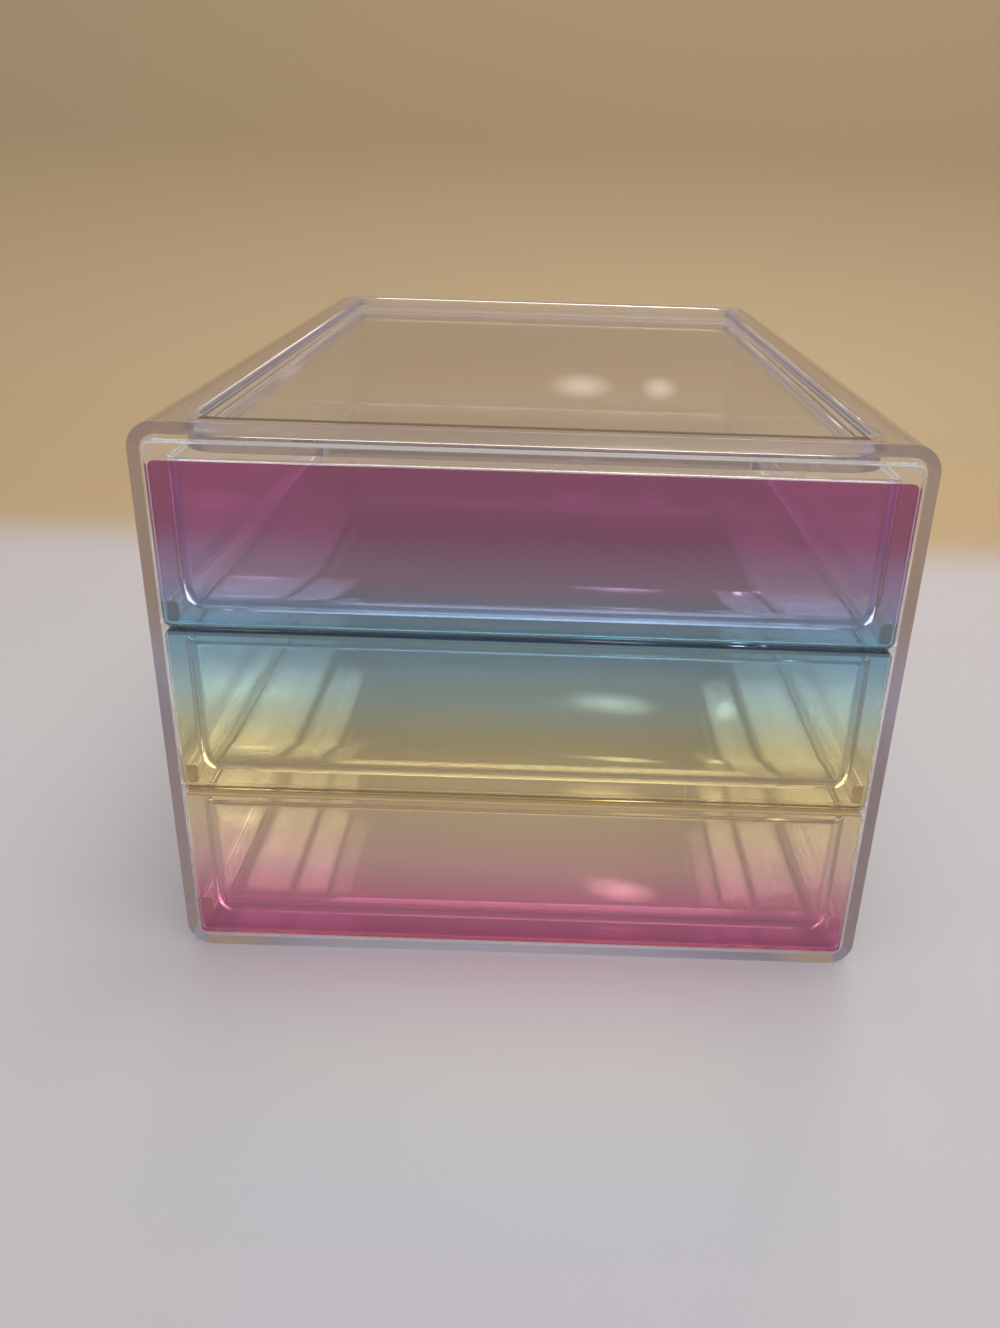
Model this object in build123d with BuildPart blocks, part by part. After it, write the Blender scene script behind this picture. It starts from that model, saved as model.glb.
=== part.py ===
"""Clear three-drawer makeup organizer: a deep moulded case with a recessed top, two shelves,
and three handle-less drawers, each a clear tray behind a clear front plate that is backed by
a rainbow film.

Millimetres, +Z up. The origin is at the middle of the footprint, on the surface that the case
stands on. The drawers face -Y and pull out along -Y.
"""

import os

from build123d import *

# Case shell, one moulding that is open at the front and at the back
case_width = 170.0
case_depth = 240.0
wall = 2.7
corner_radius = 6.2  # outer radius of the four long edges
bay_height = 39.8  # clear height of one drawer bay
rim_edge_radius = 0.5  # softened edges of the mouth

# Stacking recess in the top: the rim stands above a sunken panel
recess_depth = 4.3
rim_side = 12.3  # from the side of the case to the wall of the recess
rim_front = 6.3  # from the front of the case to the wall of the recess
rim_back = 6.3
recess_corner_radius = 6.5
recess_foot_radius = 1.0  # between the sunken panel and its walls
recess_lip_radius = 0.8  # along the top of those walls

# Panels that are cemented into the shell
bond_gap = 0.05
back_thickness = 2.0
shelf_thickness = 2.7
shelf_nose_radius = 0.6
shelf_setback = 0.7  # from the back of the drawer films to the nose of a shelf

# Guide strips, cemented to the side walls just above the floor of each bay
guide_thickness = 2.75
guide_height = 5.0
guide_setback = 2.5  # from the back of the drawer films to the front end of a strip
guide_back_gap = 4.0  # from the rear end of a strip to the back panel
guide_edge_radius = 0.8
guide_clearance = 0.5  # between a strip and the side of a tray

# Drawer trays, as wide as the guide strips leave room for
tray_wall = 2.0
tray_scoop_radius = 12.0  # outer, where the floor curves up into the front and back walls
tray_corner_radius = 4.0  # outer, along the sides of the floor and the upright edges
tray_lip_radius = 0.6
tray_floor_clearance = 0.3  # from the underside of a tray to the floor of its bay
tray_headroom = 1.3  # from the lip of a tray to the bay's ceiling
tray_back_clearance = 0.5

# Drawer front plates. Their upper edges are level with the floor of the bay above, so that the
# tray above slides out over them.
plate_thickness = 3.0
plate_side_clearance = 0.5
plate_foot_clearance = 0.9  # from the floor of the bay to the lower edge of the plate
plate_corner_radius = 1.5
plate_edge_radius = 0.3

# Rainbow films, bonded between the front plate and the tray
film_thickness = 0.3
film_inset = 0.1  # from the edges of the front plate
film_top_margin = 4.5  # the top drawer's film starts lower and leaves a clear band

# Drawers, from the bottom up
drawer_names = ("bottom", "middle", "top")

# Levels and places that follow from the sizes above
bay_pitch = bay_height + shelf_thickness
bay_floors = [wall + i * bay_pitch for i in range(len(drawer_names))]
ceiling = bay_floors[-1] + bay_height
recess_floor = ceiling + wall
case_height = recess_floor + recess_depth
inner_width = case_width - 2 * wall
inner_height = case_height - 2 * wall
inner_radius = corner_radius - wall
front = -case_depth / 2
back_panel_face = case_depth / 2 - back_thickness
film_front = front + plate_thickness
film_back = film_front + film_thickness


def save(piece, name):
    """Labels a finished piece and writes it as its own STEP file."""
    piece.part.label = name
    export_step(piece.part, f"parts/{name}.step")


os.makedirs("parts", exist_ok=True)

# Case shell: a rounded tube whose top steps down into the stacking recess
recess_width = case_width - 2 * rim_side
recess_length = case_depth - rim_front - rim_back
recess_middle = (rim_front - rim_back) / 2
with BuildPart() as case_shell:
    with BuildSketch(Plane.XZ.offset(-front)):
        with Locations((0, case_height / 2)):
            RectangleRounded(case_width, case_height, corner_radius)
    extrude(amount=-case_depth)
    with BuildSketch(Plane.XZ.offset(-front)):
        with Locations((0, case_height / 2)):
            RectangleRounded(inner_width, inner_height, inner_radius)
    extrude(amount=-case_depth, mode=Mode.SUBTRACT)
    fillet(case_shell.faces().sort_by(Axis.Y)[0].edges(), rim_edge_radius)
    with BuildSketch(Plane.XY.offset(ceiling)):
        with Locations((0, recess_middle)):
            RectangleRounded(
                recess_width + 2 * wall,
                recess_length + 2 * wall,
                recess_corner_radius + wall,
            )
    extrude(amount=case_height - wall - ceiling)
    with BuildSketch(Plane.XY.offset(recess_floor)):
        with Locations((0, recess_middle)):
            RectangleRounded(recess_width, recess_length, recess_corner_radius)
    extrude(amount=recess_depth, mode=Mode.SUBTRACT)
    level_faces = case_shell.faces().filter_by(Plane.XY).sort_by(Axis.Z)
    fillet(level_faces[-1].inner_wires().edges(), recess_lip_radius)
    level_faces = case_shell.faces().filter_by(Plane.XY).sort_by(Axis.Z)
    fillet(level_faces[-3].edges(), recess_foot_radius)  # below the rim and its underside
save(case_shell, "case_shell")

# Back panel, let into the rear end of the shell
with BuildPart() as back_panel:
    with BuildSketch(Plane.XZ.offset(-back_panel_face)):
        with Locations((0, case_height / 2)):
            RectangleRounded(
                inner_width - 2 * bond_gap,
                inner_height - 2 * bond_gap,
                inner_radius - bond_gap,
            )
    extrude(amount=-back_thickness)
save(back_panel, "back_panel")

# Shelves between the bays, each with a rounded nose behind the front plates
shelf_front = film_back + shelf_setback
shelf_back = back_panel_face - bond_gap
for name, bay_floor in zip(("shelf_lower", "shelf_upper"), bay_floors[1:]):
    with BuildPart() as shelf:
        with BuildSketch(Plane.XY.offset(bay_floor - shelf_thickness)):
            with Locations((0, (shelf_front + shelf_back) / 2)):
                Rectangle(inner_width - 2 * bond_gap, shelf_back - shelf_front)
        extrude(amount=shelf_thickness)
        nose = shelf.faces().sort_by(Axis.Y)[0]
        fillet(nose.edges().filter_by(Axis.X), shelf_nose_radius)
    save(shelf, name)

# Guide strips, a left and a right one above the floor of each bay
guide_front = film_back + guide_setback
guide_back = back_panel_face - guide_back_gap
guide_outer = inner_width / 2 - bond_gap
guide_inner = guide_outer - guide_thickness
for drawer, bay_floor in zip(drawer_names, bay_floors):
    lift = inner_radius if bay_floor == bay_floors[0] else 0  # over the shell's rounded corner
    for side, sign in (("left", -1), ("right", 1)):
        with BuildPart() as guide_strip:
            with BuildSketch(Plane.XY.offset(bay_floor + lift + bond_gap)):
                with Locations((sign * (guide_inner + guide_outer) / 2, (guide_front + guide_back) / 2)):
                    Rectangle(guide_outer - guide_inner, guide_back - guide_front)
            extrude(amount=guide_height)
            running_face = guide_strip.faces().sort_by(Axis.X)[0 if sign > 0 else -1]
            fillet(running_face.edges(), guide_edge_radius)
        save(guide_strip, f"guide_strip_{side}_{drawer}")

# Drawers: tray, front plate and film of each
tray_width = 2 * (guide_inner - guide_clearance)
tray_back = back_panel_face - tray_back_clearance
tray_length = tray_back - film_back
tray_middle = (tray_back + film_back) / 2
tray_height = bay_height - tray_floor_clearance - tray_headroom
plate_width = inner_width - 2 * plate_side_clearance
plate_height = bay_pitch - plate_foot_clearance
for drawer, bay_floor in zip(drawer_names, bay_floors):
    with BuildPart() as tray:
        with BuildSketch(Plane.YZ.offset(-tray_width / 2)) as profile:
            with Locations((tray_middle, bay_floor + tray_floor_clearance)):
                Rectangle(tray_length, tray_height, align=(Align.CENTER, Align.MIN))
            fillet(profile.vertices().group_by(Axis.Y)[0], tray_scoop_radius)
        extrude(amount=tray_width)
        side_edges = tray.faces().filter_by(Axis.X).edges().sort_by(Axis.Z)
        fillet(side_edges[:-2], tray_corner_radius)
        offset(amount=-tray_wall, openings=tray.faces().sort_by(Axis.Z)[-1])
        fillet(tray.faces().sort_by(Axis.Z)[-1].edges(), tray_lip_radius)
    save(tray, f"tray_{drawer}")

    plate_foot = bay_floor + plate_foot_clearance
    with BuildPart() as front_plate:
        with BuildSketch(Plane.XZ.offset(-film_front)):
            with Locations((0, plate_foot + plate_height / 2)):
                RectangleRounded(plate_width, plate_height, plate_corner_radius)
        extrude(amount=plate_thickness)
        fillet(front_plate.faces().sort_by(Axis.Y)[0].edges(), plate_edge_radius)
    save(front_plate, f"front_plate_{drawer}")

    film_margin = film_top_margin if drawer == drawer_names[-1] else film_inset
    film_height = plate_height - film_inset - film_margin
    with BuildPart() as film:
        with BuildSketch(Plane.XZ.offset(-film_back)):
            with Locations((0, plate_foot + film_inset + film_height / 2)):
                RectangleRounded(
                    plate_width - 2 * film_inset,
                    film_height,
                    plate_corner_radius - film_inset,
                )
        extrude(amount=film_thickness)
    save(film, f"rainbow_film_{drawer}")

print(f"case {case_width:g} x {case_depth:g} x {case_height:g} mm, bay floors {bay_floors}")
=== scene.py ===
"""Clear makeup organizer with three rainbow-fronted drawers: the looks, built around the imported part."""

import math

import bmesh
import bpy
from mathutils import Matrix, Vector


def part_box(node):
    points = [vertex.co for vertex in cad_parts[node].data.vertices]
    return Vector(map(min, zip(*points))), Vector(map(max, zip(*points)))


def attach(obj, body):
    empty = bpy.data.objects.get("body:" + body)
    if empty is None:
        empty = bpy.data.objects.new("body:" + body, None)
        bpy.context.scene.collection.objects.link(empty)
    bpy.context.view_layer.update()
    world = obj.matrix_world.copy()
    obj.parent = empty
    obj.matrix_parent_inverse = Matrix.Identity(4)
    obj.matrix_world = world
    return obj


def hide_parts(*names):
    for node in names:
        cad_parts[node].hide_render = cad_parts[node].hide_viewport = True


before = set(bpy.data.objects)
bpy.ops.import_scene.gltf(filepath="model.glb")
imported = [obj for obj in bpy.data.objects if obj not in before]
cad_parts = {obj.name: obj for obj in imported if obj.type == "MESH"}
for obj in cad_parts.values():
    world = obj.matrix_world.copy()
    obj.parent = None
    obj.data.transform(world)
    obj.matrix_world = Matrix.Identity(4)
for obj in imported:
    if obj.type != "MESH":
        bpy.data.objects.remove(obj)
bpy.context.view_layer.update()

# Case shell. One clear polystyrene moulding, open at the front and at the back, whose top steps
# down into a shallow recess. Its polished walls are 2.7 mm thick, with softened rims.
mm = 0.001
case_wall = 2.7 * mm
case_corner_radius = 6.2 * mm
case_corner_segments = 18
recess_depth = 4.3 * mm
recess_side = 12.3 * mm  # from the side of the case to the wall of the recess
recess_end = 6.3 * mm  # and from its front or its back
recess_corner_radius = 6.5 * mm
recess_corner_segments = 12
recess_lip_radius = 0.8 * mm
recess_foot_radius = 1.0 * mm
fillet_segments = 5
mouth_radius = 0.5 * mm
small_fillet_segments = 4
worn_edge = 0.25 * mm  # the radius that a moulded edge has anyway
X, Y, Z = 0, 1, 2
slack = 0.1 * mm  # how far a point may lie from the place where it is looked for
soft_bend = math.radians(35)  # past this angle an edge is still sharp
square_bend = math.radians(60)  # past this one it is a square corner


def box_between(low, high):
    """A new mesh that is a box between two corners."""
    bm = bmesh.new()
    place = Matrix.Translation((low + high) / 2) @ Matrix.Diagonal((*(high - low), 1))
    bmesh.ops.create_cube(bm, size=1, matrix=place)
    return bm


def faces_to(bm, axis, sides=(-1, 1)):
    """The faces that look along an axis, to its lower end (-1), its upper end (1) or both."""
    return [f for f in bm.faces if any(f.normal[axis] * side > 0.9 for side in sides)]


def along(edge, axis):
    """Whether an edge runs along an axis."""
    run = edge.verts[0].co - edge.verts[1].co
    return abs(run[axis]) > 0.999 * run.length


def round_edges(bm, edges, radius, segments):
    """Rounds these edges with a plain fillet."""
    bmesh.ops.bevel(bm, geom=list(edges), offset=radius, offset_type="OFFSET", segments=segments,
                    profile=0.5, affect="EDGES", material=-1, clamp_overlap=True)
    bm.normal_update()


def soften_corners(bm, radius, segments=2):
    """Rounds every edge that is still sharp."""
    bm.normal_update()
    sharp = [e for e in bm.edges if e.is_manifold and e.calc_face_angle() > soft_bend]
    round_edges(bm, sharp, radius, segments)


def cut_across(bm, axis, places):
    """Divides the mesh by planes square to an axis."""
    for place in places:
        point = Vector()
        point[axis] = place
        across = Vector()
        across[axis] = 1
        everything = bm.verts[:] + bm.edges[:] + bm.faces[:]
        bmesh.ops.bisect_plane(bm, geom=everything, dist=1e-7, plane_co=point, plane_no=across)
    bm.normal_update()


def push_faces(bm, faces, move):
    """Moves flat faces out or in, with walls round them."""
    made = bmesh.ops.extrude_face_region(bm, geom=faces)["geom"]
    bmesh.ops.delete(bm, geom=faces, context="FACES_ONLY")
    bmesh.ops.translate(bm, verts=[v for v in made if isinstance(v, bmesh.types.BMVert)], vec=move)
    bm.normal_update()


def show(bm, name, body, node, material):
    """Makes the finished piece, smooth on its fillets and flat on its faces, in place of its node."""
    mesh = bpy.data.meshes.new(name)
    bm.normal_update()
    bm.to_mesh(mesh)
    bm.free()
    mesh.shade_smooth()
    mesh.materials.append(material)
    piece = bpy.data.objects.new(name, mesh)
    bpy.context.scene.collection.objects.link(piece)
    even = piece.modifiers.new("even", "WEIGHTED_NORMAL")
    even.weight = 100
    even.keep_sharp = True
    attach(piece, body)
    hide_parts(node)
    return piece


def inside_box(nodes, links, place, centre, reach):
    """1 where a point lies in a box, given by its centre and half of its size, and 0 elsewhere."""
    beyond = place.outputs["Object"]
    for operation, other in (("SUBTRACT", centre), ("ABSOLUTE", (0, 0, 0)), ("SUBTRACT", reach)):
        step = nodes.new("ShaderNodeVectorMath")
        step.operation = operation
        step.inputs[1].default_value = other
        links.new(beyond, step.inputs[0])
        beyond = step.outputs["Vector"]
    split = nodes.new("ShaderNodeSeparateXYZ")
    links.new(beyond, split.inputs["Vector"])
    furthest = split.outputs["X"]
    for side in ("Y", "Z"):
        further = nodes.new("ShaderNodeMath")
        further.operation = "MAXIMUM"
        links.new(furthest, further.inputs[0])
        links.new(split.outputs[side], further.inputs[1])
        furthest = further.outputs["Value"]
    inside = nodes.new("ShaderNodeMath")
    inside.operation = "LESS_THAN"
    inside.inputs[1].default_value = 0
    links.new(furthest, inside.inputs[0])
    return inside.outputs["Value"]


clouds_per_metre = 38
cloud_start, cloud_end = 0.35, 0.75
clearest, cloudiest = 0.5, 1.8  # shares of the haze of a plastic
satin_haze = 0.32  # roughness where the polish is only half done


def uneven_polish(nodes, links, place, haze, satin):
    """Roughness of a polish that is a little uneven, with faint handling marks, and that is only
    half done in the satin box."""
    cloudy = nodes.new("ShaderNodeTexNoise")
    cloudy.inputs["Scale"].default_value = clouds_per_metre
    cloudy.inputs["Detail"].default_value = 4
    rough = nodes.new("ShaderNodeMapRange")
    rough.inputs["From Min"].default_value = cloud_start
    rough.inputs["From Max"].default_value = cloud_end
    rough.inputs["To Min"].default_value = haze * clearest
    rough.inputs["To Max"].default_value = haze * cloudiest
    links.new(place.outputs["Object"], cloudy.inputs["Vector"])
    links.new(cloudy.outputs["Fac"], rough.inputs["Value"])
    if not satin:
        return rough.outputs["Result"]
    half_done = nodes.new("ShaderNodeMix")
    half_done.inputs["B"].default_value = satin_haze
    links.new(inside_box(nodes, links, place, *satin), half_done.inputs["Factor"])
    links.new(rough.outputs["Result"], half_done.inputs["A"])
    return half_done.outputs["Result"]


waves_per_metre = 22
wave_depth = 0.6 * mm
wave_strength = 0.03


def slow_waves(nodes, links, place):
    """Slow waves of a moulded wall, which bend reflections slightly."""
    wavy = nodes.new("ShaderNodeTexNoise")
    wavy.inputs["Scale"].default_value = waves_per_metre
    wavy.inputs["Detail"].default_value = 1
    bump = nodes.new("ShaderNodeBump")
    bump.inputs["Strength"].default_value = wave_strength
    bump.inputs["Distance"].default_value = wave_depth
    links.new(place.outputs["Object"], wavy.inputs["Vector"])
    links.new(wavy.outputs["Fac"], bump.inputs["Height"])
    return bump.outputs["Normal"]


longest_run = 16  # faces that a ray meets inside the plastic before it leaks out
straight_light = (0.988, 0.986, 0.988)  # what one face lets through of light that meets it squarely
glancing_light = (0.55, 0.54, 0.57)  # and of light that glances along it
glance_start, glance_end = 0.4, 0.9


def let_light_out(nodes, links, shader):
    """Lamps shine through the plastic, less where their light glances along a wall, so that what
    stands behind it is lit and it still has a soft shadow. Light that has run to and fro inside a
    wall for long leaks out."""
    lit = nodes.new("ShaderNodeBsdfTransparent")
    glance = nodes.new("ShaderNodeLayerWeight")
    slant = nodes.new("ShaderNodeMapRange")
    slant.inputs["From Min"].default_value = glance_start
    slant.inputs["From Max"].default_value = glance_end
    passed = nodes.new("ShaderNodeMix")
    passed.data_type = "RGBA"
    passed.inputs["A"].default_value = (*straight_light, 1)
    passed.inputs["B"].default_value = (*glancing_light, 1)
    links.new(glance.outputs["Facing"], slant.inputs["Value"])
    links.new(slant.outputs["Result"], passed.inputs["Factor"])
    links.new(passed.outputs["Result"], lit.inputs["Color"])
    leak = nodes.new("ShaderNodeBsdfTransparent")
    leak.inputs["Color"].default_value = (*straight_light, 1)
    ray = nodes.new("ShaderNodeLightPath")
    spent = nodes.new("ShaderNodeMath")
    spent.operation = "GREATER_THAN"
    spent.inputs[1].default_value = longest_run
    links.new(ray.outputs["Ray Depth"], spent.inputs[0])
    for cause, way_out in (
        (spent.outputs["Value"], leak),
        (ray.outputs["Is Diffuse Ray"], lit),
        (ray.outputs["Is Shadow Ray"], lit),
    ):
        mix = nodes.new("ShaderNodeMixShader")
        links.new(cause, mix.inputs["Fac"])
        links.new(shader, mix.inputs[1])
        links.new(way_out.outputs["BSDF"], mix.inputs[2])
        shader = mix.outputs["Shader"]
    return shader


def paint_edge_shading(nodes, links, place, plastic, surface, edges):
    """Paints shade and highlight on the surface: another colour and some milkiness inside each of the
    edges' boxes.
    """
    colour_so_far = None
    clear_so_far = None
    for centre, reach, colour, milkiness in edges:
        near = inside_box(nodes, links, place, centre, reach)
        painted = nodes.new("ShaderNodeMix")
        painted.data_type = "RGBA"
        painted.inputs["A"].default_value = (*surface, 1)
        painted.inputs["B"].default_value = (*colour, 1)
        clear = nodes.new("ShaderNodeMath")
        clear.operation = "MULTIPLY_ADD"
        clear.inputs[1].default_value = -milkiness
        clear.inputs[2].default_value = 1
        links.new(near, painted.inputs["Factor"])
        links.new(near, clear.inputs[0])
        if colour_so_far:
            links.new(colour_so_far, painted.inputs["A"])
            links.new(clear_so_far, clear.inputs[2])
        colour_so_far = painted.outputs["Result"]
        clear_so_far = clear.outputs["Value"]
    if colour_so_far:
        links.new(colour_so_far, plastic.inputs["Base Color"])
        links.new(clear_so_far, plastic.inputs["Transmission Weight"])


index_of_refraction = 1.57


def clear_plastic(name, tint, density, haze, surface=(1, 1, 1), edges=(), satin=None):
    """Polished clear polystyrene. Its colour deepens with the length of plastic that light passes.
    Each of the edges is a box, inside which the surface gets a painted colour and milkiness: painted
    shade and painted highlight. Satin is a box in which the polish is only half done."""
    material = bpy.data.materials.new(name)
    material.use_nodes = True
    nodes, links = material.node_tree.nodes, material.node_tree.links
    nodes.clear()
    out = nodes.new("ShaderNodeOutputMaterial")
    plastic = nodes.new("ShaderNodeBsdfPrincipled")
    plastic.inputs["Base Color"].default_value = (*surface, 1)
    plastic.inputs["Transmission Weight"].default_value = 1
    plastic.inputs["IOR"].default_value = index_of_refraction
    place = nodes.new("ShaderNodeTexCoord")
    links.new(uneven_polish(nodes, links, place, haze, satin), plastic.inputs["Roughness"])
    links.new(slow_waves(nodes, links, place), plastic.inputs["Normal"])
    paint_edge_shading(nodes, links, place, plastic, surface, edges)
    links.new(let_light_out(nodes, links, plastic.outputs["BSDF"]), out.inputs["Surface"])
    depth = nodes.new("ShaderNodeVolumeAbsorption")
    depth.inputs["Color"].default_value = (*tint, 1)
    depth.inputs["Density"].default_value = density
    links.new(depth.outputs["Volume"], out.inputs["Volume"])
    return material


# Painted shade: a dark line is painted along the front lip of the wall of the recess. The mouth of the
# case is half polished
shell_low, shell_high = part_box("case_shell")
painted_shade_mauve = (0.05, 0.03, 0.05)
dark_lip_half = 70.5 * mm  # half of the length of that dark line
dark_lip_spread = 0.6 * mm  # past the wall of the recess, to the front and to the back
satin_depth = 0.55 * mm
anywhere = 1  # a reach past the whole case
painted_shade_lip = (
    (0, shell_low.y + recess_end - case_wall / 2, shell_high.z),
    (dark_lip_half, case_wall / 2 + dark_lip_spread, recess_lip_radius),
    painted_shade_mauve,
    0,
)
case_mouth = ((0, shell_low.y, 0), (anywhere, satin_depth, anywhere))
case_plastic = clear_plastic("clear_case", tint=(0.70, 0.67, 0.79), density=8, haze=0.01,
                             surface=(0.93, 0.925, 0.95), edges=[painted_shade_lip], satin=case_mouth)

shell = box_between(shell_low, shell_high)
bmesh.ops.delete(shell, geom=faces_to(shell, Y), context="FACES_ONLY")
round_edges(shell, [e for e in shell.edges if along(e, Y)], case_corner_radius, case_corner_segments)
recess_x = shell_high.x - recess_side
recess_y = shell_high.y - recess_end
cut_across(shell, X, (-recess_x, recess_x))
cut_across(shell, Y, (-recess_y, recess_y))
sunk = []
for face in faces_to(shell, Z, [1]):
    centre = face.calc_center_median()
    if abs(centre.x) < recess_x and abs(centre.y) < recess_y:
        sunk.append(face)
push_faces(shell, sunk, Vector((0, 0, -recess_depth)))
recess_floor = shell_high.z - recess_depth
upright = [
    e for e in shell.edges
    if along(e, Z) and min(v.co.z for v in e.verts) > recess_floor - slack
    and abs(e.verts[0].co.x) < recess_x + slack and abs(e.verts[0].co.y) < recess_y + slack
]
round_edges(shell, upright, recess_corner_radius, recess_corner_segments)
bmesh.ops.solidify(shell, geom=shell.faces[:], thickness=case_wall)
shell.normal_update()
lip = []
foot = []
for edge in shell.edges:
    outside_recess = max(abs(v.co.y) for v in edge.verts) > recess_y + slack
    if outside_recess or edge.calc_face_angle() < square_bend:
        continue
    if min(v.co.z for v in edge.verts) > shell_high.z - slack:
        lip.append(edge)
    elif all(abs(v.co.z - recess_floor) < slack for v in edge.verts):
        foot.append(edge)
round_edges(shell, foot, recess_foot_radius, fillet_segments)
round_edges(shell, [e for e in lip if e.is_valid], recess_lip_radius, fillet_segments)
mouth = [
    e for e in shell.edges
    if max(v.co.y for v in e.verts) < shell_low.y + slack and e.calc_face_angle() > square_bend
]
round_edges(shell, mouth, mouth_radius, small_fillet_segments)
soften_corners(shell, worn_edge)
show(shell, "case_moulding", "case", "case_shell", case_plastic)

# Back panel. A clear sheet let into the rear end of the shell and cemented there. Its corners
# follow the inner corners of the shell.
back_low, back_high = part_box("back_panel")
back = box_between(back_low, back_high)
back_corner_radius = case_corner_radius - case_wall
round_edges(back, [e for e in back.edges if along(e, Y)], back_corner_radius, case_corner_segments)
soften_corners(back, worn_edge)
show(back, "back_sheet", "case", "back_panel", case_plastic)

# Shelves. Two clear sheets cemented between the bays, each with a rounded nose at the front. The
# guide strips are of the same plastic, and their sawn front ends are only half polished.
nose_radius = 0.6 * mm
sawn_depth = 0.3 * mm
strip_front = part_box("guide_strip_left_top")[0].y
sawn_ends = ((0, strip_front, 0), (anywhere, sawn_depth, anywhere))
shelf_plastic = clear_plastic("clear_shelf", tint=(0.78, 0.74, 0.86), density=4, haze=0.015,
                              satin=sawn_ends)
for node in ("shelf_lower", "shelf_upper"):
    low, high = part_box(node)
    shelf = box_between(low, high)
    nose = [e for e in shelf.edges if along(e, X) and e.verts[0].co.y < low.y + slack]
    round_edges(shelf, nose, nose_radius, small_fillet_segments)
    soften_corners(shelf, worn_edge)
    show(shelf, node.replace("shelf", "shelf_sheet"), "case", node, shelf_plastic)

# Guide strips. Clear bars cemented to the side walls above the floor of each bay, which keep the
# trays running straight. The edges of their running faces are rounded.
guide_radius = 0.8 * mm


def edges_of(faces):
    """Every edge of these faces, once."""
    return {e for f in faces for e in f.edges}


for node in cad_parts:
    if not node.startswith("guide_strip"):
        continue
    low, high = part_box(node)
    strip = box_between(low, high)
    inward = -1 if low.x > 0 else 1
    round_edges(strip, edges_of(faces_to(strip, X, [inward])), guide_radius, fillet_segments)
    soften_corners(strip, worn_edge)
    show(strip, node.replace("strip", "bar"), "case", node, shelf_plastic)

# Drawer trays. Each is a clear moulding whose floor curves up into its front and back walls, with
# smaller radii along its sides and a rounded lip.
tray_wall = 2.0 * mm
scoop_radius = 12.0 * mm
scoop_segments = 16
tray_corner_radius = 4.0 * mm
tray_corner_segments = 8
tray_lip_radius = 0.6 * mm
drawers = ("bottom", "middle", "top")
tray_plastic = clear_plastic("clear_tray", tint=(0.80, 0.76, 0.86), density=4, haze=0.015)
for drawer in drawers:
    low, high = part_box(f"tray_{drawer}")
    tray = box_between(low, high)
    bmesh.ops.delete(tray, geom=faces_to(tray, Z, [1]), context="FACES_ONLY")
    scoops = [e for e in tray.edges if along(e, X) and e.verts[0].co.z < low.z + slack]
    round_edges(tray, scoops, scoop_radius, scoop_segments)
    side_edges = edges_of(faces_to(tray, X))
    below_lip = [e for e in side_edges if min(v.co.z for v in e.verts) < high.z - slack]
    round_edges(tray, below_lip, tray_corner_radius, tray_corner_segments)
    bmesh.ops.solidify(tray, geom=tray.faces[:], thickness=tray_wall)
    tray.normal_update()
    tray_lip = [e for e in tray.edges if e.calc_face_angle() > square_bend]
    round_edges(tray, tray_lip, tray_lip_radius, small_fillet_segments)
    show(tray, f"tray_{drawer}_moulding", f"drawer_{drawer}",
         f"tray_{drawer}", tray_plastic)

# Drawer front plates. Each is a thick clear plate, bonded to the front of its tray, with rounded
# corners and a rounded edge all round its face. Its upper and lower edges are painted with deep film
# colours, painted shade and painted highlight. These stand in for the film's light carried along the
# plate and for the dark and bright lines in the gaps between the plates.
plate_corner_radius = 1.5 * mm
plate_corner_segments = 6
plate_edge_radius = 0.3 * mm
plate_back_edge = 0.15 * mm
painted_edge_depth = 0.35 * mm
# painted shade and painted highlight along the upper and lower edges of the plates
painted_deep_pink = (0.80, 0.16, 0.36)
painted_bright_yellow = (0.66, 0.52, 0.25)
painted_dark_olive = (0.16, 0.13, 0.02)
painted_dark_navy = (0.0003, 0.012, 0.10)
painted_bright_cyan = (0.12, 0.64, 0.90)
painted_bright_white = (0.80, 0.76, 0.74)
low_bottom, high_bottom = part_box("front_plate_bottom")
low_middle, high_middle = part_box("front_plate_middle")
low_top, high_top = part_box("front_plate_top")
painted_plate_edges = []
for level, colour, milkiness in (
    (low_bottom.z, painted_deep_pink, 0),
    (high_bottom.z, painted_bright_yellow, 0.8),
    (low_middle.z, painted_dark_olive, 0),
    (high_middle.z, painted_dark_navy, 0),
    (low_top.z, painted_bright_cyan, 0),
    (high_top.z, painted_bright_white, 0.4),
):
    painted_plate_edges.append(((0, 0, level), (anywhere, anywhere, painted_edge_depth), colour, milkiness))
plate_plastic = clear_plastic("clear_plate", tint=(0.82, 0.80, 0.88), density=4, haze=0.01,
                              edges=painted_plate_edges)
for drawer in drawers:
    low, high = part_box(f"front_plate_{drawer}")
    plate = box_between(low, high)
    corners = [e for e in plate.edges if along(e, Y)]
    round_edges(plate, corners, plate_corner_radius, plate_corner_segments)
    round_edges(plate, edges_of(faces_to(plate, Y, [-1])), plate_edge_radius, small_fillet_segments)
    soften_corners(plate, plate_back_edge)
    show(plate, f"plate_{drawer}_clear", f"drawer_{drawer}",
         f"front_plate_{drawer}", plate_plastic)

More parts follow.
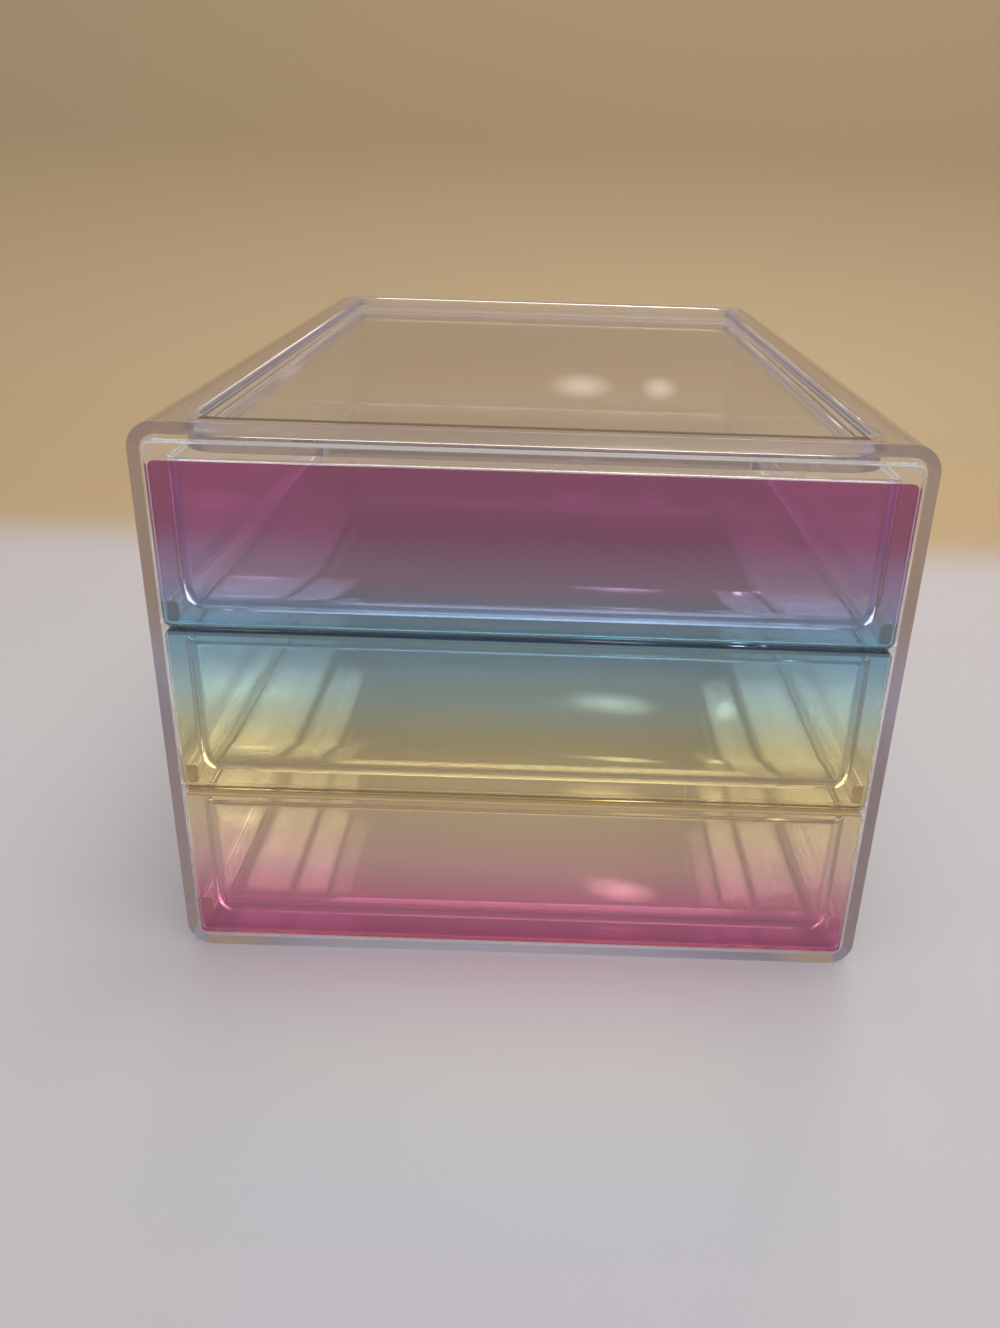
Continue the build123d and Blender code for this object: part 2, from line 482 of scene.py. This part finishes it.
# Rainbow films. Each is a clear film with one stretch of a rainbow printed on it, from its upper to
# its lower edge. It lies between the front plate and the tray, so its colour tints the whole front.
film_gap = 0.05 * mm  # to the plate in front of it and to the tray behind it
film_corner_radius = 1.4 * mm
film_cut_edge = 0.03 * mm
rose = (0.72, 0.10, 0.32)
pink = (0.93, 0.30, 0.48)
salmon = (0.92, 0.58, 0.50)
peach = (0.86, 0.68, 0.39)
yellow = (0.88, 0.72, 0.31)
olive = (0.64, 0.61, 0.29)
teal = (0.43, 0.62, 0.54)
sky = (0.15, 0.43, 0.67)
lavender = (0.36, 0.28, 0.49)
plum = (0.335, 0.075, 0.28)
magenta = (0.46, 0.085, 0.37)
stripes = (  # each with its height above the table
    (3.7 * mm, rose), (14 * mm, pink), (26 * mm, salmon), (37 * mm, peach), (48 * mm, yellow),
    (60 * mm, olive), (71 * mm, teal), (88 * mm, sky), (100 * mm, lavender), (112 * mm, plum),
    (125.7 * mm, magenta),
)
sheen_roughness = 0.05
sheen_start = 0.4  # how far the film is turned from the eye where its sheen sets in
least_sheen, most_sheen = 0.01, 0.3


def film_print(drawer):
    """Clear film with its colours printed in level bands that fade into each other. The light passes
    both of its faces, so each has the square root of the colour."""
    material = bpy.data.materials.new(f"film_{drawer}")
    material.use_nodes = True
    nodes, links = material.node_tree.nodes, material.node_tree.links
    nodes.clear()
    out = nodes.new("ShaderNodeOutputMaterial")
    place = nodes.new("ShaderNodeTexCoord")
    split = nodes.new("ShaderNodeSeparateXYZ")
    lowest, highest = stripes[0][0], stripes[-1][0]
    level = nodes.new("ShaderNodeMapRange")
    level.inputs["From Min"].default_value = lowest
    level.inputs["From Max"].default_value = highest
    rainbow = nodes.new("ShaderNodeValToRGB")
    stops = rainbow.color_ramp.elements
    for height, colour in stripes[1:-1]:
        stops.new((height - lowest) / (highest - lowest))
    for stop, (height, colour) in zip(stops, stripes):
        stop.color = (*colour, 1)
    one_face = nodes.new("ShaderNodeGamma")
    one_face.inputs["Gamma"].default_value = 0.5
    dye = nodes.new("ShaderNodeBsdfTransparent")
    sheen = nodes.new("ShaderNodeBsdfGlossy")
    sheen.inputs["Roughness"].default_value = sheen_roughness
    glance = nodes.new("ShaderNodeLayerWeight")
    mirror = nodes.new("ShaderNodeMapRange")
    mirror.interpolation_type = "SMOOTHSTEP"
    mirror.inputs["From Min"].default_value = sheen_start
    mirror.inputs["To Min"].default_value = least_sheen
    mirror.inputs["To Max"].default_value = most_sheen
    mix = nodes.new("ShaderNodeMixShader")
    links.new(place.outputs["Object"], split.inputs["Vector"])
    links.new(split.outputs["Z"], level.inputs["Value"])
    links.new(level.outputs["Result"], rainbow.inputs["Fac"])
    links.new(rainbow.outputs["Color"], one_face.inputs["Color"])
    links.new(one_face.outputs["Color"], dye.inputs["Color"])
    links.new(glance.outputs["Facing"], mirror.inputs["Value"])
    links.new(mirror.outputs["Result"], mix.inputs["Fac"])
    links.new(dye.outputs["BSDF"], mix.inputs[1])
    links.new(sheen.outputs["BSDF"], mix.inputs[2])
    links.new(mix.outputs["Shader"], out.inputs["Surface"])
    return material


for drawer in drawers:
    low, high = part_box(f"rainbow_film_{drawer}")
    thin = Vector((0, film_gap, 0))
    film = box_between(low + thin, high - thin)
    corners = [e for e in film.edges if along(e, Y)]
    round_edges(film, corners, film_corner_radius, plate_corner_segments)
    soften_corners(film, film_cut_edge, 1)
    show(film, f"film_{drawer}_print", f"drawer_{drawer}",
         f"rainbow_film_{drawer}", film_print(drawer))

# Floor and backdrop. A pale table top that sweeps up into a warm plain wall behind the object. The
# floor lies just below the case, and its colour fades into that of the wall before it rises.
floor_half = 3.0
floor_back = 0.30
floor_level = -0.3 * mm
sweep_radius = 0.20
sweep_segments = 24
wall_height = 1.6
table_colour = (0.58, 0.575, 0.61)
wall_colour = (0.53, 0.40, 0.235)
fade_start, fade_end = 0.17, 0.26
profile = bmesh.new()
first = profile.verts.new((0, -floor_half, floor_level))
last = profile.verts.new((0, floor_back, floor_level))
profile.edges.new((first, last))
bmesh.ops.spin(profile, geom=[last], cent=(0, floor_back, floor_level + sweep_radius), axis=(1, 0, 0),
               angle=math.radians(90), steps=sweep_segments, use_merge=False)
profile.verts.ensure_lookup_table()
top_end = max(profile.verts, key=lambda v: v.co.z)
risen = profile.verts.new((0, top_end.co.y, floor_level + wall_height))
profile.edges.new((top_end, risen))
bmesh.ops.translate(profile, verts=profile.verts[:], vec=(-floor_half, 0, 0))
made = bmesh.ops.extrude_edge_only(profile, edges=profile.edges[:])["geom"]
far = [v for v in made if isinstance(v, bmesh.types.BMVert)]
bmesh.ops.translate(profile, verts=far, vec=(2 * floor_half, 0, 0))
bmesh.ops.recalc_face_normals(profile, faces=profile.faces[:])
sweep_mesh = bpy.data.meshes.new("floor_sweep")
profile.to_mesh(sweep_mesh)
profile.free()
sweep_mesh.shade_smooth()
sweep = bpy.data.objects.new("floor_sweep", sweep_mesh)
bpy.context.scene.collection.objects.link(sweep)

paint = bpy.data.materials.new("pale_sweep")
paint.use_nodes = True
nodes, links = paint.node_tree.nodes, paint.node_tree.links
coat = nodes["Principled BSDF"]
coat.inputs["Roughness"].default_value = 0.35
coat.inputs["Specular IOR Level"].default_value = 0.35
place = nodes.new("ShaderNodeTexCoord")
split = nodes.new("ShaderNodeSeparateXYZ")
fade = nodes.new("ShaderNodeMapRange")
fade.interpolation_type = "SMOOTHSTEP"
fade.inputs["From Min"].default_value = fade_start
fade.inputs["From Max"].default_value = fade_end
blend = nodes.new("ShaderNodeMix")
blend.data_type = "RGBA"
blend.inputs["A"].default_value = (*table_colour, 1)
blend.inputs["B"].default_value = (*wall_colour, 1)
links.new(place.outputs["Object"], split.inputs["Vector"])
links.new(split.outputs["Y"], fade.inputs["Value"])
links.new(fade.outputs["Result"], blend.inputs["Factor"])
links.new(blend.outputs["Result"], coat.inputs["Base Color"])
sweep_mesh.materials.append(paint)

# Light. An even room, a soft box overhead and a smaller one high behind the object. Six small lamps
# behind it give the top panel and the drawer fronts their bright spots.
room_colour = (0.46, 0.45, 0.47)
room = bpy.data.worlds.new("room")
bpy.context.scene.world = room
room.use_nodes = True
room.node_tree.nodes["Background"].inputs["Color"].default_value = (*room_colour, 1)
room.node_tree.nodes["Background"].inputs["Strength"].default_value = 1


def soft_box(name, place, aim, size, power, colour):
    """A rectangular studio lamp that points at a place."""
    lamp = bpy.data.lights.new(name, "AREA")
    lamp.shape = "RECTANGLE"
    lamp.size, lamp.size_y = size
    lamp.energy = power
    lamp.color = colour
    holder = bpy.data.objects.new(name, lamp)
    holder.location = place
    holder.rotation_euler = (Vector(aim) - Vector(place)).to_track_quat("-Z", "Y").to_euler()
    bpy.context.scene.collection.objects.link(holder)
    return holder


overhead = soft_box("overhead", place=(0.3, -0.2, 1.6), aim=(0, 0, 0), size=(1.4, 1.4), power=16,
                    colour=(1, 0.99, 0.97))
overhead.visible_glossy = False  # so that the top panel is seen through from above
overhead.visible_transmission = False
case_middle = (0, 0, 0.1)
soft_box("behind", place=(0.05, 0.46, 0.62), aim=case_middle, size=(0.5, 0.25), power=1.6,
         colour=(1, 0.97, 0.9))

lamp_y = 0.42
lamp_height = 0.018
lamp_colour = (1, 0.95, 0.86)
middle_glow = 2.5  # strength at the middle of a lamp, which fades to none at its rim
small_lamps = (  # each one's place to the right, level, width, and power for a metre of its width
    (0.026, 0.213, 0.050, 0.012),
    (0.080, 0.213, 0.028, 0.012),
    (0.060, 0.296, 0.080, 0.10),
    (0.153, 0.296, 0.016, 0.45),
    (0.0785, 0.388, 0.070, 0.14),
    (0.0775, 0.684, 0.060, 0.30),
)
for number, (right, level, width, power) in enumerate(small_lamps):
    lamp = soft_box(f"small_lamp_{number}", place=(right, lamp_y, level), aim=case_middle,
                    size=(width, lamp_height), power=width * power, colour=lamp_colour)
    lamp.visible_camera = False
    lamp.data.use_nodes = True
    nodes, links = lamp.data.node_tree.nodes, lamp.data.node_tree.links
    across = nodes.new("ShaderNodeNewGeometry")
    centred = nodes.new("ShaderNodeVectorMath")  # 0 to 1 across the lamp becomes -1 to 1
    centred.operation = "MULTIPLY_ADD"
    centred.inputs[1].default_value = (2, 2, 0)
    centred.inputs[2].default_value = (-1, -1, 0)
    glow = nodes.new("ShaderNodeTexGradient")
    glow.gradient_type = "SPHERICAL"
    brightness = nodes.new("ShaderNodeMath")
    brightness.operation = "MULTIPLY"
    brightness.inputs[1].default_value = middle_glow
    links.new(across.outputs["Parametric"], centred.inputs[0])
    links.new(centred.outputs["Vector"], glow.inputs["Vector"])
    links.new(glow.outputs["Fac"], brightness.inputs[0])
    links.new(brightness.outputs["Value"], nodes["Emission"].inputs["Strength"])

# Camera, at the height and angle of the photograph
photo_width, photo_height = 1000, 1328
focal_pixels = 1083.77
axis_pixel = (537.19, 665.83)
pitch, roll, yaw = math.radians(-24.724), math.radians(-1.805), math.radians(0.068)
camera_right, camera_ahead, camera_above = 2.39 * mm, 222.85 * mm, 49.82 * mm
camera_place = Vector((camera_right, shell_low.y - camera_ahead, shell_high.z + camera_above))
lens = bpy.data.cameras.new("camera")
lens.sensor_width = 36
lens.lens = focal_pixels * lens.sensor_width / photo_height
lens.shift_x = (photo_width / 2 - axis_pixel[0]) / photo_height
lens.shift_y = (axis_pixel[1] - photo_height / 2) / photo_height
lens.clip_start = 0.01
camera = bpy.data.objects.new("camera", lens)
turn = Matrix.Rotation(yaw, 4, "Z") @ Matrix.Rotation(pitch, 4, "X") @ Matrix.Rotation(roll, 4, "Y")
camera.matrix_world = Matrix.Translation(camera_place) @ turn @ Matrix.Rotation(math.radians(90), 4, "X")
bpy.context.scene.collection.objects.link(camera)
bpy.context.scene.camera = camera

scene = bpy.context.scene
scene.view_settings.view_transform = "Standard"
scene.cycles.max_bounces = 48
scene.cycles.transmission_bounces = 48
scene.cycles.glossy_bounces = 16
scene.cycles.transparent_max_bounces = 96
